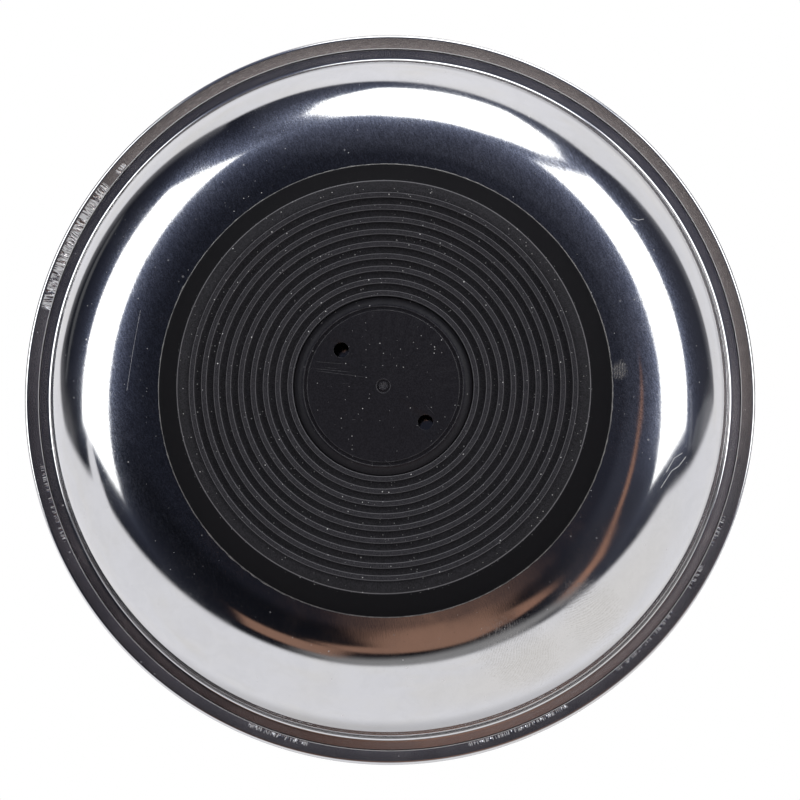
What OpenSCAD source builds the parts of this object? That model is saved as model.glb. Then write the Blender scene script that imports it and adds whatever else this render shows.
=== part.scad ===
// Round magnetic parts tray: a pressed steel bowl with a hemmed rim, on a ring magnet in a rubber boot.
// Sizes are in millimetres and angles in degrees. +Z points up, out of the mouth of the bowl.
// The origin is on the axis, on the surface that the tray stands on.

/* [Bowl] */
// Diameter over the hemmed rim
rim_d = 151.6; // [140:0.1:170]
// Height of the bowl, from the underside of its floor to the top of its rim
bowl_h = 27.3; // [22:0.1:34]
// Thickness of the steel sheet
sheet_t = 0.6; // [0.4:0.05:1]
// Steepness of the side wall, from the horizontal
wall_deg = 83; // [76:1:88]
// Width of flat floor that shows round the foot of the boot
floor_margin = 2.2; // [1:0.1:5]

/* [Rim] */
// Inside radius of the bend between the wall and the flange
neck_bend_r = 1; // [0.6:0.1:2.5]
// Width of the flat flange between its two bends
flange_w = 4; // [2.8:0.1:6]
// Rise of the flange towards its edge
flange_deg = 2; // [0:0.5:5]
// Width of the strip that is folded flat under the flange
hem_w = 2.2; // [0.8:0.1:3]
// Opening inside the fold of the hem
hem_gap = 0.3; // [0.2:0.05:0.6]
// Opening left at the raw edge of the hem
hem_tip_gap = 0.08; // [0.05:0.01:0.15]

/* [Magnet] */
// Outer diameter of the ring magnet
magnet_d = 76; // [68:1:82]
// Bore of the ring magnet
magnet_bore_d = 32; // [30:1:36]
// Thickness of the ring magnet
magnet_h = 10; // [6:0.5:14]
// Chamfer on the edges of the ring magnet
magnet_chamfer = 0.5; // [0.2:0.1:0.8]

/* [Boot] */
// Thickness of the boot's face, under the ribs
boot_face_t = 1.6; // [1.2:0.1:3]
// Wall of the boot beside the magnet
boot_wall = 2.1; // [1.5:0.1:4]
// Clearance between the magnet and the boot's pocket
boot_gap = 0.15; // [0.05:0.05:0.4]
// Taper of the boot's skirt, from the vertical
skirt_deg = 23.5; // [10:0.5:32]
// Width of the edge of the skirt that is glued to the bowl
skirt_w = 2.2; // [1.5:0.1:4]
// Width of the rounded shoulder between the face and the skirt
shoulder_w = 2.2; // [1.5:0.1:3]
// Slope that the shoulder reaches where it meets the skirt
shoulder_deg = 40; // [20:1:60]

/* [Ribs] */
// Height of the concentric anti-slip ribs
rib_h = 0.8; // [0.4:0.1:1.5]
// Spacing of the ribs
rib_pitch = 2.4; // [2:0.1:4]
// Width of a rib at its top
rib_top_w = 0.95; // [0.6:0.05:1.2]
// Width of a rib at its foot
rib_foot_w = 1.15; // [1:0.05:1.6]

/* [Plug] */
// How far the plug's flange reaches over the magnet, past its bore
plug_lap = 1.35; // [1:0.05:2.5]
// Clearance between the plug's flange and the boot
plug_gap = 0.15; // [0.05:0.05:0.4]
// Clearance between the plug's spigot and the bore of the magnet
plug_fit = 0.1; // [0.05:0.05:0.2]
// Height that the plug's face stands out past the floor of the boot's grooves
plug_rise = 0.2; // [0:0.05:0.3]
// Width of the bevel round the plug's face
plug_bevel_w = 1.8; // [1:0.1:2.5]
// Depth of the bevel round the plug's face
plug_bevel_h = 0.45; // [0.2:0.05:1]
// Thickness of the plug's face
plug_t = 1.8; // [1.4:0.1:2.4]
// Width of the fine groove round the face
groove_w = 0.75; // [0.4:0.05:1.2]
// Depth of the fine groove round the face
groove_depth = 0.3; // [0.1:0.05:0.5]
// Width of each sloping side of the fine groove
groove_side_w = 0.1; // [0.05:0.01:0.15]
// Length of the spigot inside the magnet
spigot_h = 4; // [2:0.5:5]
// Wall of the spigot
spigot_wall = 1.3; // [0.8:0.1:1.6]
// Lead-in chamfer at the end of the spigot
spigot_lead = 0.5; // [0.2:0.1:0.7]
// Diameter of the two vent holes
vent_d = 3; // [1.5:0.1:3.2]
// Diameter of the circle that the vent holes lie on
vent_circle_d = 21.6; // [18:0.1:22]
// Diameter of the moulding gate's dimple
gate_d = 2.7; // [2.1:0.1:4]
// Depth of the moulding gate's dimple
gate_depth = 0.25; // [0.1:0.05:0.5]
// Diameter of the gate's broken-off stub
stub_d = 1.7; // [0.8:0.1:2]
// Distance that the stub stays below the face
stub_drop = 0.05; // [0:0.05:0.1]

/* [Adhesive] */
// Thickness of the adhesive films under the bowl
bond_t = 0.3; // [0.1:0.05:0.6]
// Width of the bead squeezed out at the foot of the boot
bead_w = 0.2; // [0.1:0.05:0.6]
// Distance that the film stays inside the inner edge of the skirt
bond_inset = 0.3; // [0.1:0.05:0.6]

/* [Hidden] */
$fn = 180;
// Largest step between two points of an arc in a profile
arc_step_deg = 3;
// How far a cut runs past the faces that it opens
overrun = 1;

// Heights, from the surface that the tray stands on
seat_z = rib_h + boot_face_t;
bond_z = seat_z + magnet_h;
base_h = bond_z + bond_t;
rim_z = base_h + bowl_h;

// Radii of the base, from the magnet outwards
magnet_r = magnet_d / 2;
bore_r = magnet_bore_d / 2;
pocket_r = magnet_r + boot_gap;
shoulder_r = pocket_r + boot_wall;
face_r = shoulder_r - shoulder_w;
shoulder_bend_r = shoulder_w / sin(shoulder_deg);
shoulder_z = rib_h + shoulder_bend_r * (1 - cos(shoulder_deg));
skirt_r = shoulder_r + (bond_z - shoulder_z) * tan(skirt_deg);

// Radii of the plug, and the ribs that fit between the boot's opening and its shoulder
plug_r = bore_r + plug_lap;
opening_r = plug_r + plug_gap;
spigot_r = bore_r - plug_fit;
spigot_in_r = spigot_r - spigot_wall;
bevel_in_r = plug_r - plug_bevel_w;
face_in_r = bevel_in_r - groove_w;
plug_z = rib_h - plug_rise;
plug_back_z = plug_z + plug_t;
rib_count = floor((face_r - opening_r - rib_foot_w) / rib_pitch) + 1;
rib_radii = [for (i = [0:rib_count - 1]) opening_r + rib_foot_w / 2 + i * rib_pitch];

// Middle line of the bowl's sheet: the rim is set out from its outer edge, and one arc joins the floor to the
// wall. The arc starts at the margin round the boot, unless the bowl is too shallow for an arc that large.
floor_mid_z = base_h + sheet_t / 2;
fold_r = (hem_gap + sheet_t) / 2;
fold_c = [rim_d / 2, rim_z] - (fold_r + sheet_t / 2) * [1, 1];
flange_end = fold_c + fold_r * heading(flange_deg + 90);
flange_start = flange_end - flange_w * heading(flange_deg);
neck_r = neck_bend_r + sheet_t / 2;
neck_c = flange_start - neck_r * heading(flange_deg + 90);
wall_top = neck_c + neck_r * heading(wall_deg + 90);
wall_run = wall_top - [skirt_r + floor_margin, floor_mid_z];
wide_corner_r = (wall_run.x * sin(wall_deg) - wall_run.y * cos(wall_deg)) / (1 - cos(wall_deg));
corner_r = min(wide_corner_r, wall_run.y / (1 - cos(wall_deg)));
floor_r = wall_top.x - (corner_r * (1 - cos(wall_deg)) + wall_run.y * cos(wall_deg)) / sin(wall_deg);
corner_c = [floor_r, floor_mid_z + corner_r];
hem_pinch_deg = asin((hem_gap - hem_tip_gap) / hem_w);
fold_deg = 180 + hem_pinch_deg;
hem_deg = flange_deg - fold_deg;
hem_end = fold_c + fold_r * heading(hem_deg + 90) + hem_w * heading(hem_deg);

function heading(angle) = [cos(angle), sin(angle)];
function reversed(points) = [for (i = [len(points) - 1:-1:0]) points[i]];
function arc(centre, radius, from, to) =
    let (steps = ceil(abs(to - from) / arc_step_deg))
    [for (i = [0:steps]) centre + radius * heading(from + (to - from) * i / steps)];

// One face of the bowl's sheet, at a signed distance from the middle line: positive is the inside of the bowl
function sheet_face(offset) = concat(
    [[0, floor_mid_z + offset]],
    arc(corner_c, corner_r - offset, -90, wall_deg - 90),
    arc(neck_c, neck_r + offset, wall_deg + 90, flange_deg + 90),
    arc(fold_c, fold_r + offset, flange_deg + 90, hem_deg + 90),
    [hem_end + offset * heading(hem_deg + 90)]);

// Outline of one rib, standing down from the boot's face
function rib_points(radius) = [
    [radius - rib_foot_w / 2, rib_h],
    [radius - rib_top_w / 2, 0],
    [radius + rib_top_w / 2, 0],
    [radius + rib_foot_w / 2, rib_h]];

// Pressed bowl: one sheet from the middle of the floor to the raw edge of the hem
module bowl() {
    color("silver")
    rotate_extrude()
    polygon(concat(sheet_face(-sheet_t / 2), reversed(sheet_face(sheet_t / 2))));
}

// Adhesive film between the flat of the magnet and the bowl
module magnet_bond() {
    inner_r = bore_r + magnet_chamfer;
    color("wheat")
    rotate_extrude()
    translate([inner_r, bond_z])
    square([magnet_r - magnet_chamfer - inner_r, bond_t]);
}

// Ferrite ring with chamfered edges
module magnet_ring() {
    c = magnet_chamfer;
    color("dimgray")
    rotate_extrude()
    polygon([
        [bore_r + c, seat_z], [magnet_r - c, seat_z],
        [magnet_r, seat_z + c], [magnet_r, bond_z - c],
        [magnet_r - c, bond_z], [bore_r + c, bond_z],
        [bore_r, bond_z - c], [bore_r, seat_z + c]]);
}

// Glue line between the edge of the skirt and the bowl, with its squeezed-out bead
module boot_bond() {
    inner_r = skirt_r - skirt_w + bond_inset;
    color("wheat")
    rotate_extrude()
    polygon([[inner_r, bond_z], [skirt_r, bond_z], [skirt_r + bead_w, base_h], [inner_r, base_h]]);
}

// Rubber boot: ribbed face, rounded shoulder and tapered skirt round the magnet's pocket
module boot() {
    color([0.1, 0.1, 0.11])
    rotate_extrude()
    polygon(concat(
        [for (radius = rib_radii) each rib_points(radius)],
        arc([face_r, rib_h + shoulder_bend_r], shoulder_bend_r, -90, shoulder_deg - 90),
        [[skirt_r, bond_z], [skirt_r - skirt_w, bond_z], [pocket_r, seat_z], [opening_r, seat_z]]));
}

// Moulded plug: flat face with a fine groove and a bevel, and a spigot that pushes into the bore of the magnet
module centre_plug() {
    gate_z = plug_z + gate_depth;
    groove_z = plug_z + groove_depth;
    spigot_z = seat_z + spigot_h;
    color([0.13, 0.13, 0.14])
    difference() {
        rotate_extrude()
        polygon([
            [0, plug_z + stub_drop], [stub_d / 2, plug_z + stub_drop],
            [stub_d / 2, gate_z], [gate_d / 2, gate_z], [gate_d / 2, plug_z],
            [face_in_r, plug_z], [face_in_r + groove_side_w, groove_z], [bevel_in_r - groove_side_w, groove_z],
            [bevel_in_r, plug_z],
            [plug_r, plug_z + plug_bevel_h], [plug_r, seat_z], [spigot_r, seat_z],
            [spigot_r, spigot_z - spigot_lead], [spigot_r - spigot_lead, spigot_z], [spigot_in_r, spigot_z],
            [spigot_in_r, plug_back_z], [0, plug_back_z]]);
        for (side = [-1, 1])
            translate([side * vent_circle_d / 2, 0, plug_z - overrun])
            cylinder(d = vent_d, h = plug_t + 2 * overrun);
    }
}

bowl();
magnet_bond();
magnet_ring();
boot_bond();
boot();
centre_plug();
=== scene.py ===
"""Round magnetic parts tray, seen from below: turned pieces, finishes, studio and camera.

Profiles are in millimetres, as (radius, height) about +Z. Marks are placed along two axes in the XY plane,
right and down as the camera sees them. Meshes are in metres, in the frame of the CAD model.
"""
import math
import random
from functools import reduce
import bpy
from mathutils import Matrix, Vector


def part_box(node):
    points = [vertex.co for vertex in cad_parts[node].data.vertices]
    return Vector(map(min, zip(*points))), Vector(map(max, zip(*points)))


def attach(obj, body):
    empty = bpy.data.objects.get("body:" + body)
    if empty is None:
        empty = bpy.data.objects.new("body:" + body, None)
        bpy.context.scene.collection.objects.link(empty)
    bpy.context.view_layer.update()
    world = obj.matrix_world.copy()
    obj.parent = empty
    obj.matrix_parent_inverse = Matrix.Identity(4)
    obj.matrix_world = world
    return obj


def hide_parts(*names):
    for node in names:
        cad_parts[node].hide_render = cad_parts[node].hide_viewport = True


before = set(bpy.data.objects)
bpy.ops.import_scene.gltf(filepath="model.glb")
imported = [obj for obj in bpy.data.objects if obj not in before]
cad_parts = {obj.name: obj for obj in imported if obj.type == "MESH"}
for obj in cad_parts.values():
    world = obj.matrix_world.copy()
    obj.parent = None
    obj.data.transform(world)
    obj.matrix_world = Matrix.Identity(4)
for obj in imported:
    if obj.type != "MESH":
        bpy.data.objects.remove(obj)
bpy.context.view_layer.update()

from types import SimpleNamespace

import bpy
import numpy as np
from mathutils import Matrix, Vector

MM = 0.001
SEED = 41

# Directions that the camera sees as right and down
VIEW_TURN_DEG = 40.65
RIGHT = Vector((math.cos(math.radians(VIEW_TURN_DEG)), -math.sin(math.radians(VIEW_TURN_DEG)), 0.0))
DOWN = Vector((math.sin(math.radians(VIEW_TURN_DEG)), math.cos(math.radians(VIEW_TURN_DEG)), 0.0))

# Main sizes, from the frame
BOWL_LOW, BOWL_HIGH = (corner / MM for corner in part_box("bowl"))
BOOT_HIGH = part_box("boot")[1] / MM
PLUG_LOW, PLUG_HIGH = (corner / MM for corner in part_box("centre_plug"))
MAGNET_LOW, MAGNET_HIGH = (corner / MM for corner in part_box("magnet_ring"))
RIM_R, RIM_Z, BASE_Z = BOWL_HIGH.x, BOWL_HIGH.z, BOWL_LOW.z
SKIRT_R, BOND_Z = BOOT_HIGH.x, BOOT_HIGH.z
PLUG_R, PLUG_Z, SPIGOT_Z = PLUG_HIGH.x, PLUG_LOW.z, PLUG_HIGH.z
SEAT_Z, MAGNET_R = MAGNET_LOW.z, MAGNET_HIGH.x

# Sheet of the bowl
SHEET_T = 0.6
WALL_DEG = 83
FLOOR_MARGIN = 2.2
NECK_BEND_R = 1.0
FLANGE_W = 4.0
FLANGE_DEG = 2
HEM_W = 2.2
HEM_GAP = 0.3
HEM_TIP_GAP = 0.08
RAW_EDGE_R = 0.1

# Boot and its ribs
RIB_H = 0.8
RIB_PITCH = 2.4
RIB_TOP_W = 0.95
RIB_FOOT_W = 1.15
RIB_COUNT = 9
RIB_EDGE_R = 0.11
RIB_FOOT_R = 0.1
BOOT_WALL = 2.1
BOOT_GAP = 0.15
SKIRT_W = 2.2
SHOULDER_W = 2.2
SHOULDER_DEG = 40
SHOULDER_EDGE_R = 0.16
SKIRT_EDGE_R = 0.04
POCKET_CORNER_R = 0.2
OPENING_EDGE_R = 0.05
SHOULDER_STEP_DEG = 4.0
PLUG_GAP = 0.15

# Plug
BEVEL_W = 1.8
BEVEL_H = 0.45
PLUG_T = 1.8
GROOVE_W = 0.75
GROOVE_DEPTH = 0.3
GROOVE_SIDE = 0.1
SPIGOT_R = 15.9
SPIGOT_WALL = 1.3
SPIGOT_LEAD = 0.5
VENT_D = 3.0
VENT_CIRCLE_D = 21.6
VENT_LIP_R = 0.06
VENT_LIP_STEP_DEG = 18
VENT_OVERRUN = 1.0
GATE_D = 2.7
GATE_DEPTH = 0.25
STUB_D = 1.7
STUB_DROP = 0.05
STUB_DISH = 0.05
STUB_DISH_SHARE = 0.55
STUB_DISH_MID = 0.02
STUB_DISH_R = 0.2
FINE_EDGE_R = 0.06
GROOVE_FOOT_R = 0.05
BEVEL_EDGE_R = 0.07
SPIGOT_EDGE_R = 0.1
PLUG_BACK_R = 0.2

# Glue line at the foot of the boot
BEAD_W = 0.2
BOND_INSET = 0.3
BEAD_FOOT_SHARE = 0.55
BEAD_FOOT_H = 0.09
BEAD_FOOT_INSET = 0.02
BEAD_ROUND = 0.05
BEAD_TOP_R = 0.02
BOND_EDGE_R = 0.03

# Steps of the turned meshes round the axis, and the least angle of a sharp edge
BOOT_TURNS = 480
PLUG_TURNS = 288
VENT_TURNS = 72
BOND_TURNS = 900
SHARP_DEG = 38


def heading(deg):
    """Unit vector at an angle from the radius."""
    return np.array((math.cos(math.radians(deg)), math.sin(math.radians(deg))))


def arc(centre, radius, start, end, step):
    """Points of an arc between two angles in degrees."""
    count = max(2, math.ceil(abs(end - start) / step))
    return [centre + radius * heading(start + (end - start) * i / count) for i in range(count + 1)]


def line(start, end, step):
    """Points between two ends, without them, no further apart than a step."""
    count = max(1, math.ceil(np.linalg.norm(end - start) / step))
    return [start + (end - start) * i / count for i in range(1, count)]


def rounded(corners, closed, arc_steps=5, hold=0.02):
    """Profile through (radius, height, rounding) corners, held straight next to each rounding."""
    spots = [np.array(corner[:2], float) for corner in corners]
    count = len(corners)
    out = []
    for i, corner in enumerate(corners):
        radius = corner[2] if len(corner) > 2 else 0.0
        inner = closed or 0 < i < count - 1
        if not inner or radius <= 0:
            out.append(spots[i])
            continue
        to_last = spots[i - 1] - spots[i]
        to_next = spots[(i + 1) % count] - spots[i]
        to_last, to_next = to_last / np.linalg.norm(to_last), to_next / np.linalg.norm(to_next)
        half = math.acos(np.clip(to_last @ to_next, -1, 1)) / 2
        reach = radius / math.tan(half)
        centre = spots[i] + (to_last + to_next) / np.linalg.norm(to_last + to_next) * radius / math.sin(half)
        first, last = spots[i] + to_last * reach, spots[i] + to_next * reach
        turn_from = math.atan2(*(first - centre)[::-1])
        turn = math.atan2(*(last - centre)[::-1]) - turn_from
        turn = (turn + math.pi) % (2 * math.pi) - math.pi
        out.append(first + to_last * hold)
        for k in range(arc_steps + 1):
            angle = turn_from + turn * k / arc_steps
            out.append(centre + radius * np.array((math.cos(angle), math.sin(angle))))
        out.append(last + to_next * hold)
    return out


def even_turns(count):
    """Angles of evenly spaced steps round the axis, in radians."""
    return np.arange(count) * 2 * math.pi / count


def turned(name, profile, turns, closed, lift=None):
    """Closed mesh turned about Z from a profile that goes out below and comes back on top.

    An open profile starts and ends on the axis. lift(radii, heights, turns) may move the rings.
    """
    profile = np.array(profile)
    on_axis = profile[:, 0] < 1e-6
    radii = np.repeat(profile[:, :1], len(turns), axis=1)
    heights = np.repeat(profile[:, 1:], len(turns), axis=1)
    if lift:
        radii, heights = lift(radii, heights, turns)
    verts, starts = [], []
    for i in range(len(profile)):
        starts.append(len(verts))
        if on_axis[i]:
            verts.append((0.0, 0.0, heights[i, 0] * MM))
        else:
            ring = np.stack((radii[i] * np.cos(turns), radii[i] * np.sin(turns), heights[i]), axis=1) * MM
            verts.extend(map(tuple, ring))

    def vert(i, j):
        return starts[i] + (0 if on_axis[i] else j % len(turns))

    faces = []
    for i in range(len(profile) if closed else len(profile) - 1):
        k = (i + 1) % len(profile)
        for j in range(len(turns)):
            corners = vert(i, j), vert(i, j + 1), vert(k, j + 1), vert(k, j)
            faces.append(tuple(dict.fromkeys(corners)))
    mesh = bpy.data.meshes.new(name)
    mesh.from_pydata(verts, [], faces)
    mesh.shade_smooth()
    mesh.set_sharp_from_angle(angle=math.radians(SHARP_DEG))
    piece = bpy.data.objects.new(name, mesh)
    bpy.context.scene.collection.objects.link(piece)
    return piece


def stand_for(piece, node, material):
    """Dress a piece and let it take a CAD node's place."""
    piece.data.materials.clear()
    piece.data.materials.append(material)
    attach(piece, "root")
    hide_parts(node)


def clock_turn(deg):
    """Angle round the axis of a clock angle, clockwise from the top of the camera's view."""
    return math.radians(deg - 90 - VIEW_TURN_DEG)


# Bowl

# Runs of tool marks across the hem: clock angles, marks a degree, depth, nearest and furthest reach from
# the raw edge as shares of the strip's width, and slant in millimetres
HEM_RUNS = (
    (284.5, 307.0, 3.2, 0.12, 0.02, 0.9, 0.75),
    (309.5, 311.5, 3.0, 0.1, 0.15, 0.6, 0.6),
    (99.5, 101.0, 1.4, 0.11, 0.08, 0.36, 0.2),
    (109.5, 114.5, 1.4, 0.11, 0.08, 0.38, 0.2),
    (118.0, 122.5, 1.4, 0.11, 0.08, 0.4, 0.2),
    (127.0, 141.0, 1.3, 0.11, 0.1, 0.35, 0.15),
    (150.0, 167.0, 2.0, 0.13, 0.12, 0.42, 0.15),
    (193.0, 203.0, 2.2, 0.13, 0.12, 0.45, 0.15),
    (246.0, 259.0, 1.0, 0.1, 0.1, 0.4, 0.15),
    (8.0, 64.0, 0.1, 0.09, 0.05, 0.4, 0.1),
)
MARK_HALF_MM = 0.1
MARK_GROUP = 7
MARK_FADE_NEAR, MARK_FADE_FAR = 0.12, 0.15
FINE_TURN_DEG = 0.08
FINE_MARGIN_DEG = 0.5
FINE_MIN_DENSITY = 0.3
COARSE_TURN_DEG = 0.5

# Strip that the marks are pressed into: distance from its plane, and reach as shares of its width
STRIP_AWAY = 0.12
STRIP_FROM, STRIP_TO = -0.05, 1.25

# Steps along the sheet's profile: rings on the floor, degrees on the bends, millimetres on the straight runs
FLOOR_RINGS = 20
FLOOR_END_GAP = 0.4
CORNER_STEP, NECK_STEP, FOLD_STEP, TIP_STEP = 1.0, 4.0, 6.0, 18.0
WALL_STEP, FLANGE_STEP, STRIP_STEP = 0.6, 0.3, 0.12


def bowl_turns():
    """Angles round the bowl, closer together where the hem has its marks."""
    found = set(np.round(np.arange(0, 360, COARSE_TURN_DEG), 3))
    for start, end, density, *_ in HEM_RUNS:
        if density > FINE_MIN_DENSITY:
            fine = np.arange(start - FINE_MARGIN_DEG, end + FINE_MARGIN_DEG, FINE_TURN_DEG)
            found |= set(np.round(fine, 3) % 360)
    return np.sort([clock_turn(clock) % (2 * math.pi) for clock in found])


def bowl_lines():
    """Points and angles that set out the middle line of the bowl's sheet."""
    half = SHEET_T / 2
    floor_z = BASE_Z + half
    fold_r = (HEM_GAP + SHEET_T) / 2
    fold_c = np.array((RIM_R, RIM_Z)) - (fold_r + half)
    flange_end = fold_c + fold_r * heading(FLANGE_DEG + 90)
    flange_start = flange_end - FLANGE_W * heading(FLANGE_DEG)
    neck_r = NECK_BEND_R + half
    neck_c = flange_start - neck_r * heading(FLANGE_DEG + 90)
    wall_top = neck_c + neck_r * heading(WALL_DEG + 90)
    floor_r = SKIRT_R + FLOOR_MARGIN
    run = wall_top - np.array((floor_r, floor_z))
    slope = heading(WALL_DEG)
    corner_r = (run[0] * slope[1] - run[1] * slope[0]) / (1 - slope[0])
    corner_c = np.array((floor_r, floor_z + corner_r))
    pinch = math.degrees(math.asin((HEM_GAP - HEM_TIP_GAP) / HEM_W))
    hem_deg = FLANGE_DEG - 180 - pinch
    hem_start = fold_c + fold_r * heading(hem_deg + 90)
    hem_end = hem_start + HEM_W * heading(hem_deg)
    return SimpleNamespace(
        floor_z=floor_z, fold_r=fold_r, fold_c=fold_c, neck_r=neck_r, neck_c=neck_c, floor_r=floor_r,
        corner_r=corner_r, corner_c=corner_c, hem_deg=hem_deg, hem_end=hem_end)


def sheet_face(at, offset):
    """One face of the sheet, from the axis to the raw edge, in short steps."""
    floor_radii = np.linspace(0, at.floor_r - FLOOR_END_GAP, FLOOR_RINGS)
    floor = [(r, at.floor_z + offset) for r in floor_radii]
    corner = arc(at.corner_c, at.corner_r - offset, -90, WALL_DEG - 90, CORNER_STEP)
    neck = arc(at.neck_c, at.neck_r + offset, WALL_DEG + 90, FLANGE_DEG + 90, NECK_STEP)
    fold = arc(at.fold_c, at.fold_r + offset, FLANGE_DEG + 90, at.hem_deg + 90, FOLD_STEP)
    hem = at.hem_end + offset * heading(at.hem_deg + 90)
    wall = line(corner[-1], neck[0], WALL_STEP)
    flange = line(neck[-1], fold[0], FLANGE_STEP)
    inset = hem - heading(at.hem_deg) * RAW_EDGE_R
    strip = line(fold[-1], inset, STRIP_STEP)
    way = -1 if offset < 0 else 1
    tip = arc(inset - way * RAW_EDGE_R * heading(at.hem_deg + 90), RAW_EDGE_R,
              at.hem_deg + way * 90, at.hem_deg, TIP_STEP)
    return floor + corner + wall + neck + flange + fold + strip + tip


def hem_marks():
    """Clock angle, half width, slant, reach along the strip and depth of each tool mark."""
    draw = random.Random(SEED)
    marks = []
    for start, end, density, depth, near, far, slant in HEM_RUNS:
        count = round((end - start) * density)
        lean = slant
        for i in range(count):
            if i % MARK_GROUP == 0:
                lean = slant * draw.choice((-1, 1)) * draw.uniform(0.4, 1.0)
            spread = (end - start) / count
            angle = start + (i + draw.uniform(0.1, 0.9)) * spread
            low = near * draw.uniform(0.5, 1.8)
            half = MARK_HALF_MM * draw.uniform(0.7, 1.3)
            tilt = lean + slant * draw.gauss(0.0, 0.25)
            high = far * draw.uniform(0.75, 1.05)
            marks.append((angle, half, tilt, low, high, depth * draw.uniform(0.5, 1.0)))
    return marks


def bowl_piece():
    """Pressed bowl as one sheet, with the folded hem and its tool marks."""
    at = bowl_lines()
    profile = np.array(sheet_face(at, -SHEET_T / 2) + sheet_face(at, SHEET_T / 2)[::-1])
    hem_out = heading(at.hem_deg + 90)
    strip_from, strip_dir = at.hem_end + hem_out * SHEET_T / 2, -heading(at.hem_deg)
    along = (profile - strip_from) @ strip_dir / HEM_W
    away = np.abs((profile - strip_from) @ hem_out)
    on_strip = (away < STRIP_AWAY) & (along > STRIP_FROM) & (along < STRIP_TO)
    marks = hem_marks()

    def lift(radii, heights, turns):
        clock = (np.degrees(turns) + 90 + VIEW_TURN_DEG) % 360
        arc_mm = RIM_R * math.radians(1)
        for i in np.nonzero(on_strip)[0]:
            press = np.zeros(len(turns))
            for angle, half, slant, low, high, depth in marks:
                window = np.clip((along[i] - low) / MARK_FADE_NEAR + 0.5, 0, 1)
                window *= np.clip((high - along[i]) / MARK_FADE_FAR, 0, 1)
                if window > 0:
                    gap = (clock - angle) * arc_mm - slant * (along[i] - 0.5)
                    press = np.maximum(press, depth * window * np.exp(-(gap / half) ** 2))
            heights[i] += press
        return radii, heights

    return turned("bowl_pressed", profile, bowl_turns(), False, lift)


# Boot

def boot_piece():
    """Moulded rubber boot: ribs with rounded edges, bent shoulder, skirt and pocket."""
    opening_r = PLUG_R + PLUG_GAP
    pocket_r = MAGNET_R + BOOT_GAP
    shoulder_r = pocket_r + BOOT_WALL
    face_r = shoulder_r - SHOULDER_W
    bend_r = SHOULDER_W / math.sin(math.radians(SHOULDER_DEG))
    corners = []
    for i in range(RIB_COUNT):
        middle = opening_r + RIB_FOOT_W / 2 + i * RIB_PITCH
        foot_r = RIB_FOOT_R if i else OPENING_EDGE_R
        corners += [(middle - RIB_FOOT_W / 2, RIB_H, foot_r), (middle - RIB_TOP_W / 2, 0, RIB_EDGE_R),
                    (middle + RIB_TOP_W / 2, 0, RIB_EDGE_R), (middle + RIB_FOOT_W / 2, RIB_H, RIB_FOOT_R)]
    bend_c = np.array((face_r, RIB_H + bend_r))
    shoulder = arc(bend_c, bend_r, -90, SHOULDER_DEG - 90, SHOULDER_STEP_DEG)
    corners += [(*point, 0) for point in shoulder[:-1]]
    corners += [(*shoulder[-1], SHOULDER_EDGE_R), (SKIRT_R, BOND_Z, SKIRT_EDGE_R),
                (SKIRT_R - SKIRT_W, BOND_Z, SKIRT_EDGE_R), (pocket_r, SEAT_Z, POCKET_CORNER_R),
                (opening_r, SEAT_Z, OPENING_EDGE_R)]
    return turned("boot_moulded", rounded(corners, True), even_turns(BOOT_TURNS), True)


# Plug

def plug_profile():
    """Half outline of the plug, from the gate mark round to its back."""
    bevel_in_r = PLUG_R - BEVEL_W
    face_in_r = bevel_in_r - GROOVE_W
    gate_z = PLUG_Z + GATE_DEPTH
    spigot_in_r = SPIGOT_R - SPIGOT_WALL
    groove_z = PLUG_Z + GROOVE_DEPTH
    stub_z = PLUG_Z + STUB_DROP
    corners = [
        (0, stub_z + STUB_DISH), (STUB_D / 2 * STUB_DISH_SHARE, stub_z + STUB_DISH_MID, STUB_DISH_R),
        (STUB_D / 2, stub_z, FINE_EDGE_R), (STUB_D / 2 + FINE_EDGE_R, gate_z, FINE_EDGE_R),
        (GATE_D / 2 - FINE_EDGE_R, gate_z, FINE_EDGE_R), (GATE_D / 2, PLUG_Z, FINE_EDGE_R),
        (face_in_r, PLUG_Z, FINE_EDGE_R), (face_in_r + GROOVE_SIDE, groove_z, GROOVE_FOOT_R),
        (bevel_in_r - GROOVE_SIDE, groove_z, GROOVE_FOOT_R), (bevel_in_r, PLUG_Z, BEVEL_EDGE_R),
        (PLUG_R, PLUG_Z + BEVEL_H, SPIGOT_EDGE_R), (PLUG_R, SEAT_Z, OPENING_EDGE_R),
        (SPIGOT_R, SEAT_Z, OPENING_EDGE_R), (SPIGOT_R, SPIGOT_Z - SPIGOT_LEAD, SPIGOT_EDGE_R),
        (SPIGOT_R - SPIGOT_LEAD, SPIGOT_Z, SPIGOT_EDGE_R), (spigot_in_r, SPIGOT_Z, SPIGOT_EDGE_R),
        (spigot_in_r, PLUG_Z + PLUG_T, PLUG_BACK_R), (0, PLUG_Z + PLUG_T)]
    return rounded(corners, False)


def vent_cutter(name, side):
    """Cutter for a vent hole, flared where it opens on the plug's face."""
    lip_c = np.array((VENT_D / 2 + VENT_LIP_R, PLUG_Z + VENT_LIP_R))
    flare = arc(lip_c, VENT_LIP_R, 270, 180, VENT_LIP_STEP_DEG)
    below, above = PLUG_Z - VENT_OVERRUN, PLUG_Z + PLUG_T + VENT_OVERRUN
    profile = [(0, below), (flare[0][0], below), *flare, (VENT_D / 2, above), (0, above)]
    cutter = turned(name, profile, even_turns(VENT_TURNS), False)
    cutter.location.x = side * VENT_CIRCLE_D / 2 * MM
    return cutter


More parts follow.
